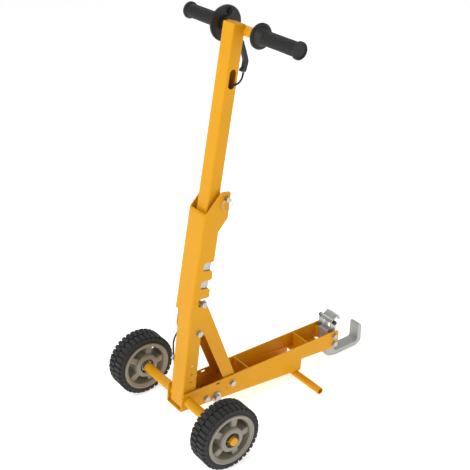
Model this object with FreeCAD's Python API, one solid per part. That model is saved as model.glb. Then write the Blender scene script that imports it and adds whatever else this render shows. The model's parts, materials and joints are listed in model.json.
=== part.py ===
import FreeCAD, Part
import math
import os

# Two-wheeled tow dolly. Lengths in millimetres, angles in degrees.
# Shapes are drawn in the boom frame: x forward along the boom, y to the far side, z up,
# origin at the middle of the axle. place() then stands the frame on the floor.

os.makedirs("parts", exist_ok=True)
V = FreeCAD.Vector
yAxis = V(0, 1, 0)

# wheels and axle
wheelRadius = 80.0
wheelTrack = 362.0
tyreWidth = 54.0
rimWidth = 60.0
rimRadius = 63.0
rimWall = 11.0
hubRadius = 31.0
hubWidth = 62.0
hubRecessRadius = 19.0
hubRecessDepth = 9.0
spokeCount = 5
spokeWidth = 13.0
spokeDepth = 40.0
bushRadius = 14.0
bushFlangeRadius = 17.0
shaftRadius = 10.0
shaftHalfLength = 218.5
housingRadius = 12.0
housingHalfLength = 147.0
runningClearance = 0.06
pieceGap = 0.4

# base channel and foot tube
sheet = 3.0
bend = 5.0
baseHalfWidth = 31.0
baseHeight = 42.0
baseSlope = 4.6
baseRear = -20.0
baseFront = 352.0
baseBottomAtAxle = -26.5
footX = 341.0
footRadius = 9.0
footHalfLength = 123.0
footSink = 1.0

# boom
boomInside = 31.2
boomPlate = 2.4
boomTop = 24.0
boomFront = 478.0
boomLowerAtAxle = 5.5
boomTaper = 0.0652
dividerStations = (182.0, 374.0, 452.0)
dividerThickness = 3.0
braceFootBolt = (130.5, 1.5)
largeBaseBolt = (83.0, -21.0)
smallBaseBolt = (54.0, -14.0)
boomSlot = (88.0, 17.0)
lobeRadius = 16.0

# column, brace and sleeve
columnLean = 7.2
columnHalfWidth = 26.0
columnRear = -12.7
columnDepth = 35.0
columnBottom = -18.0
columnTop = 248.0
braceHalfWidth = 28.7
braceSheet = 2.5
braceBolt = (37.0, 178.0)
mastLean = 10.2
sleeveHalfWidth = 32.0
sleeveRear = -30.3
sleeveBottom = 228.0
sleeveWebTop = 479.0
notchPitch = 45.0
notchFloor = 254.0
notchHeight = 20.0
notchRear = -12.5
notchFront = 14.0
earTop = 534.0
earFront = 32.0
lockPinPlace = (22.4, 518.0)
stopBolt = (1.4, 260.0)
eyeRadius = 2.6
pullRingRadius = 13.0

# mast and handlebar
mastHalfWidth = 20.0
mastDepth = 32.0
mastRear = -18.9
mastWall = 2.0
mastCorner = 4.0
mastBottom = 292.0
mastTop = 903.0
shoeHalfWidth = 28.5
shoeTop = 400.0
slotCentre = (-2.0, 785.5)
slotWidth = 17.0
slotLength = 43.0
barPlace = (18.7, 889.0)
barRadius = 11.0
barHalfLength = 190.0
gripRadius = 16.0
gripEnd = 194.0
gripFlange = 64.0
gripFlangeRadius = 28.0
guardPlace = 55.0
guardRadius = 40.0
leverPivot = (21.0, 862.0)
leverHalfWidth = 4.5

# hook and jaw
hookHalfWidth = 16.0
hookShank = (452.0, 480.0)
hookThickness = 13.0
hookTipX = 578.0
hookSeatZ = -55.0
hookTipTop = 0.0
hookBoltPlaces = ((463.0, 10.0), (463.0, -13.0))
jawPivot = (467.5, 45.6)
jawRodRadius = 3.5
boltRadius = 4.0
cableRadius = 2.2
cableExit = (19.6, 168.0)

# stance: the frame tips about the axle until the foot tube meets the floor
baseDrop = math.tan(math.radians(baseSlope))
footZ = baseBottomAtAxle - footX * baseDrop - footRadius / math.cos(math.radians(baseSlope)) + footSink
footReach = math.hypot(footX, footZ)
standAngle = math.degrees(math.asin((wheelRadius - footRadius) / footReach) - math.asin(-footZ / footReach))
originX = 244.0


def place(shape):
    # boom frame to floor frame, with the origin under the middle of the whole dolly
    shape = shape.copy()
    shape.rotate(V(0, 0, 0), yAxis, standAngle)
    shape.translate(V(-originX, 0, wheelRadius))
    return shape


def save(node, *solids):
    shape = solids[0] if len(solids) == 1 else Part.makeCompound(list(solids))
    shape = place(shape)
    shape.exportStep("parts/" + node + ".step")
    box = shape.BoundBox
    print("%-22s solids %d  x %.0f..%.0f  y %.0f..%.0f  z %.1f..%.1f" % (
        node, len(shape.Solids), box.XMin, box.XMax, box.YMin, box.YMax, box.ZMin, box.ZMax))


def leaned(shape, angle):
    shape = shape.copy()
    shape.rotate(V(0, 0, 0), yAxis, angle)
    return shape


def roundedWire(points, toVector):
    # closed outline; a point's third value is the radius of its corner
    edges = []
    trimmed = []
    count = len(points)
    for i, point in enumerate(points):
        here = toVector(point[0], point[1])
        radius = point[2] if len(point) > 2 else 0.0
        if radius == 0.0:
            trimmed.append((here, here))
            continue
        before = toVector(points[i - 1][0], points[i - 1][1])
        after = toVector(points[(i + 1) % count][0], points[(i + 1) % count][1])
        back = (before - here).normalize()
        ahead = (after - here).normalize()
        half = back.getAngle(ahead) / 2
        reach = radius / math.tan(half)
        middle = here + (back + ahead).normalize() * (radius / math.sin(half) - radius)
        start = here + back * reach
        end = here + ahead * reach
        edges.append(Part.Arc(start, middle, end).toShape())
        trimmed.append((start, end))
    for i in range(count):
        start = trimmed[i][1]
        end = trimmed[(i + 1) % count][0]
        if start.distanceToPoint(end) > 1e-6:
            edges.append(Part.LineSegment(start, end).toShape())
    return Part.Wire(Part.__sortEdges__(edges))


def prism(points, y0, y1):
    # outline in the x-z plane, run from y0 to y1
    wire = roundedWire(points, lambda x, z: V(x, y0, z))
    return Part.Face(wire).extrude(V(0, y1 - y0, 0))


def column_of(points, z0, z1):
    # outline in the x-y plane, run up from z0 to z1
    wire = roundedWire(points, lambda x, y: V(x, y, z0))
    return Part.Face(wire).extrude(V(0, 0, z1 - z0))


def rod(x, z, radius, y0, y1):
    return Part.makeCylinder(radius, y1 - y0, V(x, y0, z), yAxis)


def ring(x, z, inner, outer, y0, y1):
    return rod(x, z, outer, y0, y1).cut(rod(x, z, inner, y0 - 1, y1 + 1))


def hexagon(x, z, acrossFlats, y0, y1):
    reach = acrossFlats / math.sqrt(3)
    corners = [(x + reach * math.cos(math.radians(60 * k)), z + reach * math.sin(math.radians(60 * k)))
               for k in range(6)]
    return prism(corners, y0, y1)


def openChannel(rear, front, halfWidth, wall, z0, z1):
    # upright channel, open to the front, with bent rear corners
    inner = halfWidth - wall
    outline = [(rear, -halfWidth, bend), (front, -halfWidth), (front, -inner),
               (rear + wall, -inner, bend - wall), (rear + wall, inner, bend - wall),
               (front, inner), (front, halfWidth), (rear, halfWidth, bend)]
    return column_of(outline, z0, z1)


def throughBolt(x, z, outside, headHeight=5.0):
    # bolt along y with its head on the near side, washers and a nut on the far side
    shank = rod(x, z, boltRadius, -outside - 0.01, outside + 9.0)
    head = hexagon(x, z, 13.0, -outside - 1.6 - headHeight, -outside - 1.6)
    collar = rod(x, z, 8.0, -outside - 1.6, -outside)
    bolt = head.fuse(collar).fuse(shank)
    washer = ring(x, z, boltRadius + 0.2, 8.0, outside, outside + 1.6)
    nut = hexagon(x, z, 13.0, outside + 1.6, outside + 8.0).cut(rod(x, z, boltRadius + 0.05, outside, outside + 9.0))
    return bolt, washer, nut


def cableTube(points, radius):
    # straight runs joined by tangent arcs, swept as one round tube
    points = [V(*p) for p in points]
    edges = []
    start = points[0]
    for before, here, after in zip(points, points[1:], points[2:]):
        back = (before - here)
        ahead = (after - here)
        shorter = min(back.Length, ahead.Length)
        back.normalize()
        ahead.normalize()
        half = back.getAngle(ahead) / 2
        reach = 0.45 * shorter
        bendRadius = reach * math.tan(half)
        middle = here + (back + ahead).normalize() * (bendRadius / math.sin(half) - bendRadius)
        arcStart = here + back * reach
        arcEnd = here + ahead * reach
        edges.append(Part.LineSegment(start, arcStart).toShape())
        edges.append(Part.Arc(arcStart, middle, arcEnd).toShape())
        start = arcEnd
        print("   cable bend radius %.0f" % bendRadius)
    edges.append(Part.LineSegment(start, points[-1]).toShape())
    path = Part.Wire(edges)
    section = Part.Wire(Part.makeCircle(radius, points[0], points[1] - points[0]))
    tube = path.makePipeShell([section], True, False)
    print("   cable length %.0f, volume ratio %.4f" % (path.Length, tube.Volume / (math.pi * radius ** 2 * path.Length)))
    return tube


# wheels

def buildRim():
    barrel = ring(0, 0, rimRadius - rimWall, rimRadius, -rimWidth / 2, rimWidth / 2)
    hub = rod(0, 0, hubRadius, -hubWidth / 2, hubWidth / 2)
    rim = barrel.fuse(hub)
    for k in range(spokeCount):
        spoke = Part.makeBox(rimRadius - rimWall / 2 - hubRadius / 2, spokeDepth, spokeWidth,
                             V(hubRadius / 2, -spokeDepth / 2, -spokeWidth / 2))
        spoke.rotate(V(0, 0, 0), yAxis, 90 + k * 360.0 / spokeCount)
        rim = rim.fuse(spoke)
    rim = rim.cut(rod(0, 0, bushRadius, -hubWidth, hubWidth))
    for side in (-1, 1):
        depth = side * (hubWidth / 2 - hubRecessDepth)
        low, high = sorted((depth, side * hubWidth))
        rim = rim.cut(rod(0, 0, hubRecessRadius, low, high))
    return rim


def buildBush(side):
    shoulder = hubWidth / 2 - hubRecessDepth
    low, high = sorted((side * 2.0, side * shoulder))
    body = ring(0, 0, shaftRadius + runningClearance, bushRadius, low, high)
    low, high = sorted((side * shoulder, side * (shoulder + 2.5)))
    flange = ring(0, 0, shaftRadius + runningClearance, bushFlangeRadius, low, high)
    return body.fuse(flange)


def buildTyre():
    half = tyreWidth / 2
    shoulder = 7.0
    inner = rimRadius + 0.05
    edges = []
    outline = [V(inner, -half, 0), V(wheelRadius - shoulder, -half, 0), V(wheelRadius, -half + shoulder, 0),
               V(wheelRadius, half - shoulder, 0), V(wheelRadius - shoulder, half, 0), V(inner, half, 0)]
    bulge = shoulder * (1 - math.sqrt(0.5))
    lowArc = Part.Arc(outline[1], V(wheelRadius - bulge, -half + bulge, 0), outline[2]).toShape()
    highArc = Part.Arc(outline[3], V(wheelRadius - bulge, half - bulge, 0), outline[4]).toShape()
    edges = [Part.LineSegment(outline[0], outline[1]).toShape(), lowArc,
             Part.LineSegment(outline[2], outline[3]).toShape(), highArc,
             Part.LineSegment(outline[4], outline[5]).toShape(),
             Part.LineSegment(outline[5], outline[0]).toShape()]
    return Part.Face(Part.Wire(edges)).revolve(V(0, 0, 0), yAxis, 360)


def moved(shape, y):
    shape = shape.copy()
    shape.translate(V(0, y, 0))
    return shape


def buildWheels():
    tyre = buildTyre()
    rim = buildRim()
    bushes = [buildBush(-1), buildBush(1)]
    for name, y in (("near", -wheelTrack / 2), ("far", wheelTrack / 2)):
        save("tyre_" + name, moved(tyre, y))
        save("rim_" + name, moved(rim, y))
        save("bushes_" + name, *[moved(bush, y) for bush in bushes])


def buildAxle():
    shaft = rod(0, 0, shaftRadius, -shaftHalfLength, shaftHalfLength)
    innerFace = wheelTrack / 2 - hubWidth / 2 + hubRecessDepth - 2.5
    outerFace = wheelTrack / 2 + hubWidth / 2 - hubRecessDepth + 2.5
    washers = []
    clips = []
    for side in (-1, 1):
        for face, step in ((innerFace, -1), (outerFace, 1)):
            low, high = sorted((side * (face + step * pieceGap), side * (face + step * (pieceGap + 1.6))))
            washers.append(ring(0, 0, shaftRadius + 0.1, housingRadius + 1.5, low, high))
        start = outerFace + pieceGap + 1.7
        low, high = sorted((side * start, side * (start + 1.8)))
        clip = ring(0, 0, shaftRadius - 1.0, shaftRadius + 5.0, low, high)
        gap = Part.makeBox(12, 4, 6, V(-shaftRadius - 8, low - 1, -3))
        clips.append(clip.cut(gap))
        shaft = shaft.cut(ring(0, 0, shaftRadius - 1.0, shaftRadius + 1, low - 0.05, high + 0.05))
        collarEnd = housingHalfLength
        low, high = sorted((side * collarEnd, side * (innerFace - pieceGap - 1.7)))
        if high - low > 0.5:
            washers.append(ring(0, 0, shaftRadius + 0.1, shaftRadius + 2.0, low + 0.02, high))
    save("axle_shaft", shaft)
    save("axle_washers", *washers)
    save("axle_clips", *clips)
    save("axle_housing", ring(0, 0, shaftRadius + 0.05, housingRadius, -housingHalfLength, housingHalfLength))


# lower frame

def buildBase():
    length = (baseFront - baseRear) / math.cos(math.radians(baseSlope))
    inner = baseHalfWidth - sheet
    outline = [(-baseHalfWidth, 0.0, bend), (baseHalfWidth, 0.0, bend), (baseHalfWidth, baseHeight),
               (inner, baseHeight), (inner, sheet, bend - sheet), (-inner, sheet, bend - sheet),
               (-inner, baseHeight), (-baseHalfWidth, baseHeight)]
    wire = roundedWire(outline, lambda y, z: V(0, y, z))
    base = Part.Face(wire).extrude(V(length, 0, 0))
    base.rotate(V(0, 0, 0), yAxis, baseSlope)
    base.translate(V(baseRear, 0, baseBottomAtAxle - baseRear * baseDrop))
    base = base.cut(rod(0, 0, housingRadius + 0.05, -50, 50))
    base = base.cut(rod(footX, footZ, footRadius, -50, 50))
    base = base.cut(prism(braceSide(), -braceHalfWidth - 0.02, braceHalfWidth + 0.02))
    for x, z in (largeBaseBolt, smallBaseBolt, braceFootBolt):
        base = base.cut(rod(x, z, boltRadius, -50, 50))
    save("base_channel", base)
    save("foot_tube", ring(footX, footZ, footRadius - 2.0, footRadius, -footHalfLength, footHalfLength))


def boomLower(x):
    return boomLowerAtAxle - boomTaper * x


def buildBoom():
    rear = -13.5
    outline = [(rear, boomTop), (rear - 3.0, boomLower(rear)), (boomFront - 2.0, boomLower(boomFront), 3.0),
               (boomFront, 18.0, 2.0), (boomFront - 4.0, boomTop, 2.0)]
    slotEnds = 3.5
    cuts = [rod(braceFootBolt[0], braceFootBolt[1], boltRadius, -50, 50),
            rod(0, 0, housingRadius + 0.05, -50, 50)]
    cuts.append(prism([(boomSlot[0] - slotEnds - 2.5, boomSlot[1] - 2.5, 2.4), (boomSlot[0] + slotEnds + 2.5, boomSlot[1] - 2.5, 2.4),
                       (boomSlot[0] + slotEnds + 2.5, boomSlot[1] + 2.5, 2.4), (boomSlot[0] - slotEnds - 2.5, boomSlot[1] + 2.5, 2.4)],
                      -50, 50))
    for x, z in hookBoltPlaces:
        cuts.append(rod(x, z, boltRadius, -50, 50))
    for name, side in (("near", -1), ("far", 1)):
        y0, y1 = sorted((side * boomInside, side * (boomInside + boomPlate)))
        plate = prism(outline, y0, y1).fuse(rod(braceFootBolt[0], braceFootBolt[1] - 3.0, lobeRadius, y0, y1))
        plate = plate.removeSplitter()
        for cut in cuts:
            plate = plate.cut(cut)
        save("boom_plate_" + name, plate)
    for k, x in enumerate(dividerStations):
        top = boomTop - 1.0 if k < 2 else boomTop - 7.0
        bottom = boomLower(x) + (12.0 if k == 0 else 8.0)
        if k == 1:
            bottom = boomLower(x) + 2.6
        half = boomInside - 0.02
        divider = prism([(x - dividerThickness / 2, bottom), (x + dividerThickness / 2, bottom),
                         (x + dividerThickness / 2, top), (x - dividerThickness / 2, top)], -half, half)
        if k == 2:
            divider = divider.cut(Part.makeBox(20, 2 * (hookHalfWidth + 0.5), 70, V(x - 10, -hookHalfWidth - 0.5, -30)))
        save("boom_divider_%d" % (k + 1), divider)
    start = baseFront + 3.0
    end = hookShank[0] - 4.0
    floor = prism([(start, boomLower(start)), (end, boomLower(end)), (end, boomLower(end) + 2.4),
                   (start, boomLower(start) + 2.4)], -boomInside + 0.02, boomInside - 0.02)
    save("boom_floor", floor)


def buildColumn():
    column = openChannel(columnRear, columnRear + columnDepth, columnHalfWidth, sheet, columnBottom, columnTop)
    column = leaned(column, columnLean)
    column = column.cut(rod(0, 0, housingRadius + 0.05, -50, 50))
    column = column.cut(rod(braceBolt[0], braceBolt[1], boltRadius, -50, 50))
    for k in range(3):
        hole = rod(7.0, 60.0 + k * 21.5 - 11.0, 2.6, -60, 0)
        column = column.cut(leaned(hole, columnLean))
    exitHole = Part.makeCylinder(cableRadius + 3.6, 30, V(cableExit[0], 10, cableExit[1]), yAxis)
    column = column.cut(exitHole)
    save("column", column)


def braceSide():
    footX0, footZ0 = braceFootBolt
    return [(38.0, 262.0, 6.0), (57.3, 262.0, 6.0), (60.0, 250.0, 8.0), (74.0, 212.0, 30.0),
            (footX0 + 14.5, footZ0 + 8.0, 8.0), (footX0 + 8.0, footZ0 - 14.0, 10.0),
            (footX0 - 14.0, footZ0 - 12.0, 10.0), (footX0 - 20.0, footZ0 + 10.0, 4.0),
            (50.0, 176.0, 10.0), (34.0, 164.0, 12.0), (13.0, 176.0, 6.0), (11.5, 190.0, 4.0), (18.0, 228.0, 6.0)]


def buildBrace():
    inner = braceHalfWidth - braceSheet
    footX0, footZ0 = braceFootBolt
    body = prism(braceSide(), -braceHalfWidth, braceHalfWidth)
    hollow = [(-40.0, 300.0), (34.0, 300.0), (56.0, 236.0), (71.4, 211.0), (footX0 + 11.9, footZ0 + 8.0),
              (footX0 + 11.9, footZ0 - 60.0), (-40.0, footZ0 - 60.0)]
    body = body.cut(prism(hollow, -inner, inner))
    body = body.cut(Part.makeBox(80, 2 * inner, 60, V(20, -inner, 212)))
    body = body.cut(rod(footX0, footZ0, boltRadius, -50, 50))
    body = body.cut(rod(braceBolt[0], braceBolt[1], boltRadius, -50, 50))
    stop = leaned(rod(stopBolt[0], stopBolt[1], boltRadius, -50, 50), mastLean)
    save("brace", body.cut(stop))


def buildSleeve():
    front = notchFront
    n3 = notchFloor
    outline = [(sleeveRear, sleeveBottom, 4.0), (front - 4.0, sleeveBottom, 3.0), (front, sleeveBottom + 8.0, 3.0)]
    for k in range(3):
        floor = n3 + k * notchPitch
        edge = front + (1.5 if k < 2 else 0.0)
        outline.append((front, floor - 3.0, 2.5))
        outline.append((front - 4.0, floor, 2.0))
        outline.append((notchRear, floor, 3.0))
        outline.append((notchRear - 1.0, floor + notchHeight, 9.0))
        outline.append((edge - 5.0, floor + notchHeight + 1.0, 2.0))
        outline.append((edge, floor + notchHeight + 4.0, 3.0))
    outline += [(13.2, 439.0, 6.0), (earFront + 2.0, 470.0, 4.0), (earFront, earTop, 5.0), (8.0, earTop, 10.0),
                (sleeveRear, sleeveWebTop, 4.0)]
    blank = openChannel(sleeveRear, earFront + 10.0, sleeveHalfWidth, sheet, sleeveBottom - 5, earTop + 5)
    sleeve = blank.common(prism(outline, -sleeveHalfWidth - 1, sleeveHalfWidth + 1))
    sleeve = sleeve.cut(rod(lockPinPlace[0], lockPinPlace[1], boltRadius + 0.4, -60, 60))
    save("sleeve", leaned(sleeve, mastLean))


def buildFrameBolts():
    bolts, washers, nuts = [], [], []
    for place_, outside in ((braceFootBolt, boomInside + boomPlate), (braceBolt, braceHalfWidth)):
        bolt, washer, nut = throughBolt(place_[0], place_[1], outside)
        bolts.append(bolt)
        washers.append(washer)
        nuts.append(nut)
    bolt, washer, nut = throughBolt(smallBaseBolt[0], smallBaseBolt[1], baseHalfWidth)
    bolts.append(bolt)
    washers.append(washer)
    nuts.append(nut)
    save("frame_bolts", *bolts)
    save("frame_washers", *washers)
    save("frame_nuts", *nuts)
    x, z = largeBaseBolt
    flange = ring(x, z, boltRadius + 0.1, 13.0, -baseHalfWidth - 3.0, -baseHalfWidth)
    cap = hexagon(x, z, 15.0, -baseHalfWidth - 11.0, -baseHalfWidth - 3.0)
    shank = rod(x, z, boltRadius, -baseHalfWidth - 3.1, baseHalfWidth + 10.0)
    save("base_flange_washer", flange)
    save("base_pivot_bolt", cap.fuse(shank))
    save("base_pivot_nut", ring(x, z, boltRadius + 0.1, 12.0, baseHalfWidth, baseHalfWidth + 2.5),
         hexagon(x, z, 13.0, baseHalfWidth + 2.5, baseHalfWidth + 9.0).cut(rod(x, z, boltRadius + 0.05, 20, 50)))
    bolt, washer, nut = throughBolt(stopBolt[0], stopBolt[1], sleeveHalfWidth + pieceGap)
    save("stop_bolt", leaned(bolt, mastLean))
    save("stop_bolt_washer", leaned(washer, mastLean))
    save("stop_bolt_nut", leaned(nut, mastLean))


# mast

def mastSection(inset):
    rear = mastRear + inset
    front = mastRear + mastDepth - inset
    half = mastHalfWidth - inset
    corner = max(mastCorner - inset, 1.0)
    return [(rear, -half, corner), (front, -half, corner), (front, half, corner), (rear, half, corner)]


def buildMast():
    outer = column_of(mastSection(0.0), mastBottom, mastTop)
    hollow = column_of(mastSection(mastWall), mastBottom - 1, mastTop + 1)
    mast = outer.cut(hollow)
    half = slotWidth / 2
    run = slotLength / 2
    u, v = slotCentre
    slot = prism([(u - half, v - run, half - 0.1), (u + half, v - run, half - 0.1),
                  (u + half, v + run, half - 0.1), (u - half, v + run, half - 0.1)], -30, 0)
    barHole = rod(barPlace[0], barPlace[1], barRadius + 0.02, -60, 60)
    mast = mast.cut(slot).cut(barHole)
    rivets = []
    shoe = openChannel(-26.8, 9.0, shoeHalfWidth, sheet, mastBottom, shoeTop)
    for v in (mastBottom + 38.0, shoeTop - 22.0):
        spacer = ring(-3.0, v, 3.0, 7.0, mastHalfWidth, shoeHalfWidth - sheet)
        pin = rod(-3.0, v, 3.0, -shoeHalfWidth, shoeHalfWidth)
        shoe = shoe.cut(pin)
        mast = mast.cut(pin)
        rivets += [spacer.mirror(V(0, 0, 0), yAxis), spacer, pin]
    cap = column_of(mastSection(mastWall + 0.02), mastTop - 3.0, mastTop).cut(barHole)
    save("mast_tube", leaned(mast, mastLean))
    save("mast_cap", leaned(cap, mastLean))
    save("mast_shoe", leaned(shoe, mastLean))
    save("shoe_rivets", *[leaned(r, mastLean) for r in rivets])


def buildHandlebar():
    x, z = barPlace
    bar = ring(x, z, barRadius - 2.0, barRadius, -barHalfLength, barHalfLength)
    save("handlebar", leaned(bar, mastLean))
    bore = barRadius + 0.03
    for name, side in (("near", -1), ("far", 1)):
        start = gripFlange if side < 0 else guardPlace + 5.0
        low, high = sorted((side * (start + 5.0), side * (gripEnd - 6.0)))
        grip = rod(x, z, gripRadius, low, high)
        low, high = sorted((side * (gripEnd - 6.0), side * gripEnd))
        grip = grip.fuse(rod(x, z, gripRadius + 3.2, low, high))
        flangeRadius = gripFlangeRadius if side < 0 else gripRadius + 6.0
        low, high = sorted((side * start, side * (start + 5.0)))
        grip = grip.fuse(rod(x, z, flangeRadius, low, high))
        collar = Part.makeCone(gripRadius + 6.0, gripRadius, 14.0, V(x, side * (start + 5.0), z), yAxis * side)
        grip = grip.fuse(collar)
        low, high = sorted((side * (start - 1.0), side * (barHalfLength + 0.1)))
        grip = grip.cut(rod(x, z, bore, low, high))
        save("grip_" + name, leaned(grip, mastLean))
    disc = ring(x, z, bore, guardRadius, guardPlace, guardPlace + 4.8)
    disc = disc.fuse(ring(x, z, bore, 17.0, guardPlace - 8.0, guardPlace))
    boss = rod(x + 8.0, z + 26.0, 8.0, guardPlace - 6.0, guardPlace + 1.0)
    disc = disc.fuse(boss)
    screwHole = rod(x + 8.0, z + 26.0, 2.5, guardPlace - 10, guardPlace + 10)
    save("guard_disc", leaned(disc.cut(screwHole), mastLean))
    screw = rod(x + 8.0, z + 26.0, 2.5, guardPlace - 6.0, guardPlace + 4.8)
    screw = screw.fuse(rod(x + 8.0, z + 26.0, 4.5, guardPlace - 9.0, guardPlace - 6.0))
    save("guard_screw", leaned(screw, mastLean))


def buildLever():
    u, v = leverPivot
    face = mastRear + mastDepth
    cheek = [(face + 0.02, v - 9.0), (u, v - 7.5, 5.0), (u + 6.5, v, 5.0), (u - 1.0, v + 7.0, 4.0), (face + 0.02, v + 7.0)]
    inner = leverHalfWidth + 0.6
    outer = inner + 2.0
    bracket = [prism(cheek, -outer, -inner), prism(cheek, inner, outer)]
    pinHole = rod(u, v, 2.5, -30, 30)
    save("lever_bracket", *[leaned(c.cut(pinHole), mastLean) for c in bracket])
    pin = rod(u, v, 2.5, -outer - 0.1, outer + 0.1)
    pin = pin.fuse(rod(u, v, 4.0, -outer - 1.5, -outer))
    pin = pin.fuse(rod(u, v, 4.0, outer, outer + 1.5))
    save("lever_pin", leaned(pin, mastLean))
    blade = [(u - 3.0, v + 2.0, 3.0), (u + 5.0, v + 3.0, 4.0), (37.0, 845.0, 14.0), (48.0, 822.0, 18.0),
             (45.0, 797.0, 4.0), (31.5, 798.0, 1.5), (32.5, 803.5, 1.0), (36.5, 807.0, 3.0), (37.0, 822.0, 16.0),
             (26.0, 845.0, 14.0)]
    lever = prism(blade, -leverHalfWidth, leverHalfWidth).fuse(rod(u, v, 5.0, -leverHalfWidth, leverHalfWidth))
    lever = lever.removeSplitter().cut(rod(u, v, 2.5 + runningClearance, -30, 30))
    save("release_lever", leaned(lever, mastLean))


def buildLockPin():
    u, v = lockPinPlace
    outside = sleeveHalfWidth + 3.0
    pin = rod(u, v, boltRadius + 0.34, -outside, sleeveHalfWidth + 4.0)
    pin = pin.fuse(rod(u, v, 6.5, -outside - 7.0, -outside))
    eye = Part.makeCylinder(eyeRadius, 30, V(u - 15, -outside - 3.5, v), V(1, 0, 0))
    save("lock_pin", leaned(pin.cut(eye), mastLean))
    wire = Part.makeTorus(pullRingRadius, 0.9, V(u, -outside - 3.5, v - pullRingRadius + 0.6), yAxis)
    save("pull_ring", leaned(wire, mastLean))


# hook and jaw

def buildHook():
    rear, shankFront = hookShank
    seat = hookSeatZ
    slope = math.tan(math.radians(standAngle))

    def level(x, z):
        return z + (x - rear) * slope

    tipInner = hookTipX - hookThickness
    outline = [(rear, 21.0, 4.0), (shankFront - 6.0, 21.0, 4.0), (shankFront - 2.0, -20.0, 10.0), (shankFront, level(shankFront, seat), 14.0),
               (tipInner, level(tipInner, seat), 8.0), (tipInner + 1.0, hookTipTop, 4.0), (hookTipX, hookTipTop - 5.0, 5.0),
               (hookTipX, level(hookTipX, seat) - 4.0, 14.0), (hookTipX - 18.0, level(hookTipX - 18, seat) - hookThickness, 16.0),
               (shankFront + 6.0, level(shankFront, seat) - hookThickness, 8.0), (rear + 4.0, level(rear, seat) - 5.0, 10.0),
               (rear, -30.0, 10.0)]
    hook = prism(outline, -hookHalfWidth, hookHalfWidth)
    bolts, washers, nuts, spacers = [], [], [], []
    legIn, legOut = 21.0, 24.0
    for x, z in hookBoltPlaces:
        hook = hook.cut(rod(x, z, boltRadius, -50, 50))
        bolt, washer, nut = throughBolt(x, z, boomInside + boomPlate)
        bolts.append(bolt)
        washers.append(washer)
        nuts.append(nut)
        for y0, y1 in ((hookHalfWidth, legIn), (legOut, boomInside)):
            spacers.append(ring(x, z, boltRadius + 0.05, 7.0, y0, y1))
            spacers.append(ring(x, z, boltRadius + 0.05, 7.0, -y1, -y0))
    save("hook", hook)
    save("hook_bolts", *bolts)
    save("hook_washers", *washers)
    save("hook_nuts", *nuts)
    save("hook_spacers", *spacers)
    px, pz = jawPivot
    leg = [(454.2, -22.0, 4.0), (472.0, -22.0, 4.0), (475.0, 20.0, 6.0), (px + 8.0, pz + 1.0, 7.0), (px - 4.0, pz + 9.0, 6.0),
           (px - 10.0, pz - 4.0, 7.0), (456.0, 20.0, 6.0)]
    legs = []
    for side in (-1, 1):
        y0, y1 = sorted((side * legIn, side * legOut))
        plate = prism(leg, y0, y1).cut(rod(px, pz, jawRodRadius, -50, 50))
        for x, z in hookBoltPlaces:
            plate = plate.cut(rod(x, z, boltRadius + 0.05, -50, 50))
        legs.append(plate)
    save("jaw_bracket", *legs)
    save("jaw_rod", rod(px, pz, jawRodRadius, -27.0, 27.0))
    caps = [ring(px, pz, jawRodRadius, 5.5, 24.3, 30.0), ring(px, pz, jawRodRadius, 5.5, -30.0, -24.3)]
    for k, y in enumerate((27.0, -30.0)):
        caps[k] = caps[k].fuse(rod(px, pz, 5.5, y, y + 3.0))
    save("jaw_rod_caps", *caps)


def buildJaw():
    px, pz = jawPivot
    half = 20.2
    knuckle = rod(px, pz, 6.0, -half, half)
    tab = prism([(px + 1.0, pz + 2.5), (px + 1.0, pz + 6.0), (px + 19.0, pz + 16.5, 4.0), (px + 25.5, pz + 3.0, 3.0),
                 (px + 22.0, pz - 2.0, 1.5), (px + 16.8, pz + 11.5, 2.0)], -half, half)
    tail = prism([(px - 4.5, pz), (px + 3.0, pz - 3.0), (px - 4.0, pz - 21.0, 2.5), (px - 9.5, pz - 19.0, 2.5)], -5.0, 5.0)
    jaw = knuckle.fuse(tab).fuse(tail)
    jaw = jaw.cut(rod(px, pz, jawRodRadius + runningClearance, -50, 50))
    save("jaw", jaw)


# cable

def buildCables():
    route = [(38.0, -4.0, 793.0), (26.0, -17.0, 786.0), (14.0, -24.5, 779.0), (2.0, -23.5, 773.0), (-4.0, -12.0, 765.0),
             (-5.0, 0.0, 744.0), (0.0, 3.5, 690.0), (5.5, 1.0, 500.0),
             (6.0, 0.0, 330.0)]
    save("cable_upper", leaned(cableTube(route, cableRadius), mastLean))
    u, y, v = route[0]
    direction = V(*route[0]) - V(*route[1])
    direction.normalize()
    nipple = Part.makeCylinder(3.0, 3.0, V(u, y, v), direction)
    save("cable_end_upper", leaned(nipple, mastLean))
    lower = [(27.0, 0.0, 222.0), (25.0, 3.0, 196.0), (22.0, 16.0, 176.0), (17.0, 33.5, 160.0),
             (6.0, 35.5, 136.0), (4.3, 34.0, 100.0)]
    save("cable_lower", cableTube(lower, cableRadius))
    x, y, z = lower[-1]
    ferrule = Part.makeCylinder(cableRadius + 1.4, 9.0, V(x, y, z - 9.4), V(0, 0, 1))
    save("cable_ferrule_lower", ferrule)
    lug = Part.makeBox(9.0, y + 4.5 - columnHalfWidth, 4.0, V(x - 4.5, columnHalfWidth, z - 14.0))
    save("cable_lug", lug.cut(Part.makeCylinder(1.6, 10, V(x, y, z - 18.0))).fuse(
        Part.makeBox(9.0, 2.0, 14.0, V(x - 4.5, columnHalfWidth, z - 24.0))))



buildWheels()
buildAxle()
buildBase()
buildBoom()
buildColumn()
buildBrace()
buildSleeve()
buildFrameBolts()
buildMast()
buildHandlebar()
buildLever()
buildLockPin()
buildHook()
buildJaw()
buildCables()
print("stand angle %.3f, foot z %.2f" % (standAngle, footZ))
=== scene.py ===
import bpy, bmesh, json, math
from mathutils import Matrix, Vector


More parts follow.
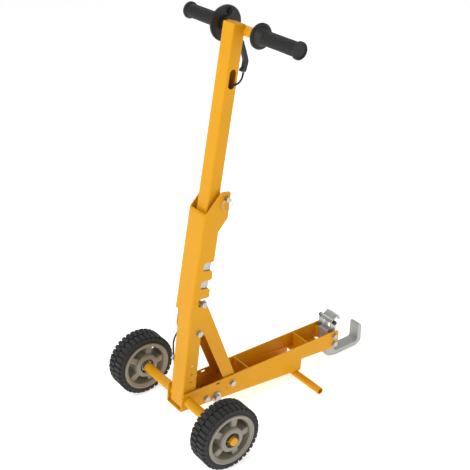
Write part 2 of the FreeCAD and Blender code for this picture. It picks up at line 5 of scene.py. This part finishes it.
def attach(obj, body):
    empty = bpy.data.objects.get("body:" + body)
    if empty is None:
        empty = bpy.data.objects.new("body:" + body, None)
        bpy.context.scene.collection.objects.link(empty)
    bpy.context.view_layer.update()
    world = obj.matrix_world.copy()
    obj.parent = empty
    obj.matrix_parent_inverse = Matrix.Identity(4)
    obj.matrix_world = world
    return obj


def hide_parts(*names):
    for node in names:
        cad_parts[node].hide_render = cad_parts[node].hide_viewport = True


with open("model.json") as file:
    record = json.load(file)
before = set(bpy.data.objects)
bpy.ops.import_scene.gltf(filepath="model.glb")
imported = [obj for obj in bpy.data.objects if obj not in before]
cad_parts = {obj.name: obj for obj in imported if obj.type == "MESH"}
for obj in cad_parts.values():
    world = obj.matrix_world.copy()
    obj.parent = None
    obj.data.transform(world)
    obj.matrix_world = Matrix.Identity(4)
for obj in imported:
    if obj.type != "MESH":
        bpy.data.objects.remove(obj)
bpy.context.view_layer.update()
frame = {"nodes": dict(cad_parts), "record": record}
nodes = frame["nodes"]
print("frame loaded")

# boom frame to floor frame, in metres
stand = math.radians(1.522)
lean = math.radians(10.2)
originX = 0.244
wheelRadius = 0.080


def placed(x, y, z):
    return Vector((x * math.cos(stand) + z * math.sin(stand) - originX, y,
                   -x * math.sin(stand) + z * math.cos(stand) + wheelRadius))


def onMast(u, y, v):
    return placed(u * math.cos(lean) + v * math.sin(lean), y, -u * math.sin(lean) + v * math.cos(lean))


# materials

class Socket:
    def __init__(self, tree, out):
        self.tree = tree
        self.out = out

    def math(self, operation, other, clamp=False):
        node = self.tree.nodes.new("ShaderNodeMath")
        node.operation = operation
        node.use_clamp = clamp
        self.tree.links.new(self.out, node.inputs[0])
        if isinstance(other, Socket):
            self.tree.links.new(other.out, node.inputs[1])
        else:
            node.inputs[1].default_value = other
        return Socket(self.tree, node.outputs[0])

    def __add__(self, other):
        return self.math("ADD", other)

    def __sub__(self, other):
        return self.math("SUBTRACT", other)

    def __mul__(self, other):
        return self.math("MULTIPLY", other)

    def clamped(self):
        return self.math("ADD", 0.0, True)


class Finish:
    def __init__(self, name):
        self.material = bpy.data.materials.new(name)
        self.material.use_nodes = True
        self.tree = self.material.node_tree
        self.shader = self.tree.nodes["Principled BSDF"]
        self.place = self.tree.nodes.new("ShaderNodeTexCoord").outputs["Object"]

    def node(self, kind, values, **facts):
        made = self.tree.nodes.new(kind)
        for key, value in facts.items():
            setattr(made, key, value)
        for key, value in values.items():
            target = made.inputs[key]
            if isinstance(value, Socket):
                self.tree.links.new(value.out, target)
            elif hasattr(value, "links"):
                self.tree.links.new(value, target)
            else:
                target.default_value = value
        return made

    def noise(self, scale, detail=4.0):
        made = self.node("ShaderNodeTexNoise", {"Vector": self.place, "Scale": scale, "Detail": detail})
        return Socket(self.tree, made.outputs["Fac"])

    def mixed(self, factor, a, b):
        made = self.node("ShaderNodeMix", {0: factor}, data_type="RGBA")
        for index, value in ((6, a), (7, b)):
            if hasattr(value, "links"):
                self.tree.links.new(value, made.inputs[index])
            else:
                made.inputs[index].default_value = (*value, 1.0)
        return made.outputs[2]

    def bumped(self, height, strength, distance):
        made = self.node("ShaderNodeBump", {"Height": height, "Strength": strength, "Distance": distance})
        self.tree.links.new(made.outputs[0], self.shader.inputs["Normal"])

    # mask of rounded edges, which get the painted highlight colour
    def edges(self):
        bevel = self.node("ShaderNodeBevel", {"Radius": 0.0012}, samples=4)
        geometry = self.tree.nodes.new("ShaderNodeNewGeometry")
        across = self.node("ShaderNodeVectorMath", {0: bevel.outputs[0], 1: geometry.outputs["Normal"]},
                           operation="DOT_PRODUCT")
        return ((Socket(self.tree, across.outputs["Value"]) * -1.0 + 1.0) * 6.0).clamped()


def makeFinish(name, settings):
    finish = Finish(name)
    broad = finish.noise(settings["broadScale"], 3.0)
    fine = finish.noise(settings["fineScale"], 5.0)
    colour = finish.mixed(broad, settings["dark"], settings["light"])
    spots = ((fine - settings["spotLevel"]) * 9.0).clamped() * settings["spotAmount"]
    colour = finish.mixed(spots, colour, settings["spot"])
    # painted highlight: rounded edges mixed towards the lighter edge colour
    if settings.get("edgeHighlightAmount"):
        colour = finish.mixed(finish.edges() * settings["edgeHighlightAmount"], colour, settings["edge"])
    finish.tree.links.new(colour, finish.shader.inputs["Base Color"])
    rough = fine * settings["roughRange"] + settings["rough"]
    finish.tree.links.new(rough.out, finish.shader.inputs["Roughness"])
    finish.shader.inputs["Metallic"].default_value = settings.get("metallic", 0.0)
    finish.shader.inputs["Specular IOR Level"].default_value = settings.get("specular", 0.4)
    finish.bumped(finish.noise(settings["grain"], 3.0), settings["bump"], settings["depth"])
    return finish.material


# each edge colour is a painted highlight laid along rounded edges
finishes = {
    "yellow_paint": {"dark": (0.76, 0.335, 0.003), "light": (0.84, 0.395, 0.006), "spot": (0.60, 0.24, 0.004), "broadScale": 9.0,
                     "fineScale": 160.0, "spotLevel": 0.66, "spotAmount": 0.35, "rough": 0.36, "roughRange": 0.14,
                     "specular": 0.22, "grain": 420.0, "bump": 0.12, "depth": 0.0004, "edge": (0.92, 0.52, 0.06),
                     "edgeHighlightAmount": 0.6},
    "zinc_steel": {"dark": (0.36, 0.36, 0.35), "light": (0.58, 0.58, 0.56), "spot": (0.34, 0.34, 0.33), "broadScale": 40.0,
                   "fineScale": 220.0, "spotLevel": 0.60, "spotAmount": 0.5, "rough": 0.22, "roughRange": 0.25,
                   "metallic": 0.9, "grain": 600.0, "bump": 0.15, "depth": 0.0002, "edge": (0.9, 0.9, 0.88),
                   "edgeHighlightAmount": 0.5},
    "cast_metal": {"dark": (0.42, 0.43, 0.41), "light": (0.54, 0.55, 0.53), "spot": (0.33, 0.33, 0.31), "broadScale": 30.0,
                   "fineScale": 260.0, "spotLevel": 0.62, "spotAmount": 0.5, "rough": 0.42, "roughRange": 0.2,
                   "metallic": 0.35, "grain": 330.0, "bump": 0.5, "depth": 0.0006, "edge": (0.8, 0.8, 0.78),
                   "edgeHighlightAmount": 0.5},
    "grip_rubber": {"dark": (0.016, 0.016, 0.0155), "light": (0.028, 0.028, 0.027), "spot": (0.06, 0.06, 0.057), "broadScale": 25.0,
                    "fineScale": 300.0, "spotLevel": 0.62, "spotAmount": 0.4, "rough": 0.55, "roughRange": 0.2,
                    "grain": 700.0, "bump": 0.5, "depth": 0.0004},
    "tyre_rubber": {"dark": (0.020, 0.020, 0.020), "light": (0.034, 0.034, 0.033), "spot": (0.09, 0.088, 0.08), "broadScale": 30.0,
                    "fineScale": 240.0, "spotLevel": 0.60, "spotAmount": 0.4, "rough": 0.58, "roughRange": 0.25,
                    "grain": 500.0, "bump": 0.5, "depth": 0.0005, "edge": (0.10, 0.10, 0.10), "edgeHighlightAmount": 0.35},
    "rim_plastic": {"dark": (0.27, 0.245, 0.19), "light": (0.34, 0.315, 0.255), "spot": (0.17, 0.155, 0.12), "broadScale": 22.0,
                    "fineScale": 260.0, "spotLevel": 0.62, "spotAmount": 0.4, "rough": 0.45, "roughRange": 0.2,
                    "grain": 500.0, "bump": 0.35, "depth": 0.0004, "edge": (0.45, 0.43, 0.37), "edgeHighlightAmount": 0.4},
    "black_plastic": {"dark": (0.010, 0.010, 0.011), "light": (0.020, 0.020, 0.022), "spot": (0.06, 0.06, 0.06), "broadScale": 30.0,
                      "fineScale": 300.0, "spotLevel": 0.62, "spotAmount": 0.3, "rough": 0.34, "roughRange": 0.2,
                      "grain": 600.0, "bump": 0.3, "depth": 0.0003},
}
materials = {name: makeFinish(name, settings) for name, settings in finishes.items()}
slots = {part["node"]: part["material_slot"] for part in frame["record"]["subparts"]}
for name, thing in nodes.items():
    thing.data.materials.clear()
    thing.data.materials.append(materials[slots[name]])
print("materials done")


# pieces

def finished(name, mesh, body, slot, stands):
    bmesh.ops.remove_doubles(mesh, verts=mesh.verts, dist=1e-6)
    bmesh.ops.recalc_face_normals(mesh, faces=mesh.faces)
    data = bpy.data.meshes.new(name)
    mesh.to_mesh(data)
    mesh.free()
    piece = bpy.data.objects.new(name, data)
    bpy.context.collection.objects.link(piece)
    data.materials.append(materials[slot])
    for face in data.polygons:
        face.use_smooth = True
    data.set_sharp_from_angle(angle=math.radians(35))
    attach(piece, body)
    if stands:
        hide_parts(*stands)
    return piece


def spun(mesh, profile, centre, steps, axis=(0, 1, 0), up=(0, 0, 1)):
    # closed profile of (radius, along) turned once round the axis
    axis = Vector(axis).normalized()
    up = Vector(up)
    verts = [mesh.verts.new(centre + up * radius + axis * along) for radius, along in profile]
    edges = [mesh.edges.new((verts[k], verts[(k + 1) % len(verts)])) for k in range(len(verts))]
    bmesh.ops.spin(mesh, geom=verts + edges, cent=centre, axis=axis, angle=2 * math.pi, steps=steps, use_merge=True)


def lug(mesh, settings, angle, y, width):
    # one tread block, narrower at its top, turned into place about the axle
    made = bmesh.ops.create_cube(mesh, size=1.0)["verts"]
    for vert in made:
        top = vert.co.z > 0
        pinch = settings["pinch"] if top else 1.0
        vert.co.x *= settings["lugLength"] * pinch
        vert.co.y *= width * (0.97 if top else 1.0)
        vert.co.z = settings["outer"] if top else settings["root"] - 0.001
    bmesh.ops.translate(mesh, verts=made, vec=(0, y, 0))
    bmesh.ops.rotate(mesh, verts=made, cent=(0, 0, 0), matrix=Matrix.Rotation(angle, 3, "Y"))
    return made


tyreSettings = {"outer": 0.0798, "root": 0.0752, "inner": 0.0631, "half": 0.0268, "lugs": 36, "lugLength": 0.0102,
                "pinch": 0.84, "rowWidth": 0.0225, "rowOffset": 0.0126}
axleCentre = placed(0, 0, 0)


def buildTyre(side, body):
    s = tyreSettings
    mesh = bmesh.new()
    h = s["half"]
    profile = [(s["inner"], -h + 0.002), (s["inner"] + 0.0015, -h), (0.0672, -h), (0.0680, -h + 0.0010), (0.0692, -h + 0.0010),
               (0.0700, -h), (0.0722, -h + 0.0004), (0.0742, -h + 0.0030), (s["root"], -h + 0.0062)]
    profile += [(radius, -along) for radius, along in reversed(profile)]
    centre = Vector((0, 0, 0))
    spun(mesh, profile, centre, 96)
    pitch = 2 * math.pi / s["lugs"]
    for k in range(s["lugs"]):
        for row, sign in enumerate((-1, 1)):
            angle = (k + 0.5 * row) * pitch
            lug(mesh, s, angle, sign * s["rowOffset"], s["rowWidth"])
            lug(mesh, dict(s, outer=0.0772, root=0.0725), angle, sign * 0.0246, 0.0042)
    bmesh.ops.translate(mesh, verts=mesh.verts, vec=axleCentre + Vector((0, side * 0.181, 0)))
    return finished("tread_" + body, mesh, body, "tyre_rubber", ["tyre_" + body.split("_")[1]])


for side, body in ((-1, "wheel_near"), (1, "wheel_far")):
    buildTyre(side, body)
print("tyres done")

rimSettings = {"outer": 0.0630, "half": 0.0300, "lip": 0.0520, "hub": 0.0312, "hubHalf": 0.0308,
               "recess": 0.0190, "recessFace": 0.0222, "bore": 0.0141, "spokes": 5, "spokeHalf": 0.0075, "spokeTip": 0.0095,
               "spokeFace": 0.0200}


def buildRim(side, body):
    s = rimSettings
    mesh = bmesh.new()
    centre = Vector((0, 0, 0))
    h = s["half"]
    barrel = [(s["outer"], -h + 0.0012), (s["outer"] - 0.0012, -h), (s["outer"] - 0.0036, -h), (s["outer"] - 0.0046, -h + 0.0016),
              (s["lip"] + 0.0022, -h + 0.0032), (s["lip"] + 0.0006, -h + 0.0050), (s["lip"], -h + 0.0120), (s["lip"] - 0.0012, 0.0)]
    barrel += [(radius, -along) for radius, along in reversed(barrel[:-1])]
    spun(mesh, barrel, centre, 96)
    g = s["hubHalf"]
    hub = [(s["bore"], -s["recessFace"]), (s["recess"], -s["recessFace"]), (s["recess"], -g + 0.0008), (s["recess"] + 0.0008, -g),
           (0.0262, -g), (0.0270, -g + 0.0010), (s["hub"] - 0.0020, -g + 0.0014), (s["hub"] - 0.0004, -g + 0.0034),
           (s["hub"], -g + 0.0080)]
    hub += [(radius, -along) for radius, along in reversed(hub)]
    spun(mesh, hub, centre, 72)
    for k in range(s["spokes"]):
        made = bmesh.ops.create_cube(mesh, size=1.0)["verts"]
        for vert in made:
            tip = vert.co.z > 0
            vert.co.x *= 2 * (s["spokeTip"] if tip else s["spokeHalf"])
            vert.co.y *= 2 * (s["spokeFace"] if tip else s["spokeFace"] + 0.003)
            vert.co.z = s["lip"] + 0.002 if tip else s["hub"] - 0.003
        edges = [edge for edge in mesh.edges if edge.verts[0] in made and edge.verts[1] in made]
        rounded = bmesh.ops.bevel(mesh, geom=edges, offset=0.0022, offset_type="OFFSET", segments=3, profile=0.5,
                                  affect="EDGES", material=-1)
        turned = {vert for face in rounded["faces"] for vert in face.verts} | {vert for vert in made if vert.is_valid}
        bmesh.ops.rotate(mesh, verts=list(turned), cent=centre,
                         matrix=Matrix.Rotation(math.radians(90) + k * 2 * math.pi / s["spokes"], 3, "Y"))
    bmesh.ops.translate(mesh, verts=mesh.verts, vec=axleCentre + Vector((0, side * 0.181, 0)))
    return finished("wheelrim_" + body, mesh, body, "rim_plastic", ["rim_" + body.split("_")[1]])


for side, body in ((-1, "wheel_near"), (1, "wheel_far")):
    buildRim(side, body)
print("rims done")

gripSettings = {"radius": 0.0158, "ribs": 26, "ribDepth": 0.0009, "bore": 0.0111, "flange": 0.0280, "endRadius": 0.0191}
barCentre = onMast(0.0187, 0, 0.889)
mastUp = (onMast(0, 0, 1) - onMast(0, 0, 0)).normalized()


def buildGrip(side, start, flange, name):
    # along runs outward from the mast
    s = gripSettings
    mesh = bmesh.new()
    profile = [(s["bore"], start), (flange - 0.001, start), (flange, start + 0.001), (flange, start + 0.004), (flange - 0.001, start + 0.005),
               (0.0215, start + 0.0056), (0.0175, start + 0.016)]
    first = start + 0.020
    last = 0.186
    step = (last - first) / s["ribs"]
    for k in range(s["ribs"]):
        at = first + k * step
        profile += [(s["radius"], at), (s["radius"], at + step * 0.55), (s["radius"] - s["ribDepth"], at + step * 0.68),
                    (s["radius"] - s["ribDepth"], at + step * 0.88)]
    profile += [(s["radius"], last), (s["endRadius"] - 0.001, 0.188), (s["endRadius"], 0.189), (s["endRadius"], 0.1928),
                (s["endRadius"] - 0.0012, 0.194), (0.0156, 0.194), (0.0148, 0.1918), (0.0001, 0.1916), (0.0001, 0.1904),
                (s["bore"], 0.1904)]
    spun(mesh, [(radius, side * along) for radius, along in profile], barCentre, 56, up=mastUp)
    return finished("hand" + name, mesh, "handle", "grip_rubber", [name])


buildGrip(-1, 0.0640, gripSettings["flange"], "grip_near")
buildGrip(1, 0.0600, 0.0220, "grip_far")
print("grips done")


# stage

def plain(name, colour, bright):
    finish = Finish(name)
    tone = finish.mixed(finish.noise(3.0), colour, tuple(min(1.0, c * 1.01) for c in colour))
    finish.tree.links.new(tone, finish.shader.inputs["Base Color"])
    finish.shader.inputs["Roughness"].default_value = 0.9
    finish.shader.inputs["Emission Color"].default_value = (1, 1, 1, 1)
    finish.shader.inputs["Emission Strength"].default_value = bright
    return finish.material


floorMesh = bmesh.new()
bmesh.ops.create_grid(floorMesh, x_segments=1, y_segments=1, size=12.0)
floorData = bpy.data.meshes.new("floor")
floorMesh.to_mesh(floorData)
floorMesh.free()
floor = bpy.data.objects.new("floor", floorData)
bpy.context.collection.objects.link(floor)
floor.location.z = -0.0005
floorData.materials.append(plain("floor_white", (0.90, 0.90, 0.90), 0.64))

world = bpy.data.worlds.new("studio")
bpy.context.scene.world = world
world.use_nodes = True
background = world.node_tree.nodes["Background"]
background.inputs["Color"].default_value = (1, 1, 1, 1)
background.inputs["Strength"].default_value = 0.34
backdrop = world.node_tree.nodes.new("ShaderNodeBackground")
backdrop.inputs["Color"].default_value = (1, 1, 1, 1)
backdrop.inputs["Strength"].default_value = 1.05
rays = world.node_tree.nodes.new("ShaderNodeLightPath")
choice = world.node_tree.nodes.new("ShaderNodeMixShader")
link = world.node_tree.links.new
link(rays.outputs["Is Camera Ray"], choice.inputs[0])
link(background.outputs[0], choice.inputs[1])
link(backdrop.outputs[0], choice.inputs[2])
link(choice.outputs[0], world.node_tree.nodes["World Output"].inputs["Surface"])


def areaLight(name, place, target, energy, width):
    data = bpy.data.lights.new(name, "AREA")
    data.energy = energy
    data.size = width
    light = bpy.data.objects.new(name, data)
    bpy.context.collection.objects.link(light)
    light.location = place
    light.rotation_euler = (Vector(target) - Vector(place)).to_track_quat("-Z", "Y").to_euler()


areaLight("key", (-2.2, 0.1, 2.3), (0, 0, 0.4), 40.0, 1.5)
areaLight("fill", (0.6, -2.4, 1.2), (0, 0, 0.4), 14.0, 1.8)
areaLight("rim", (0.8, 1.8, 2.2), (0, 0, 0.5), 14.0, 1.2)

camData = bpy.data.cameras.new("camera")
camData.sensor_width = 36.0
camData.lens = 76.8
camData.clip_end = 50.0
camera = bpy.data.objects.new("camera", camData)
bpy.context.collection.objects.link(camera)
forward = Vector((0.5293, 0.7134, -0.4593)).normalized()
right = Vector((0.8031, -0.5958, 0.0)).normalized()
upward = right.cross(forward)
roll = math.radians(0.26)
right = (right * math.cos(roll) + upward * math.sin(roll)).normalized()
upward = right.cross(forward)
tip = Matrix.Rotation(stand, 3, "Y")
eye = placed(-1.0717, -1.6618, 1.537 - wheelRadius)
turn = Matrix((tip @ right, tip @ upward, tip @ -forward)).transposed()
camera.matrix_world = Matrix.Translation(eye) @ turn.to_4x4()
bpy.context.scene.camera = camera
bpy.context.scene.view_settings.view_transform = "Standard"
print("stage done")
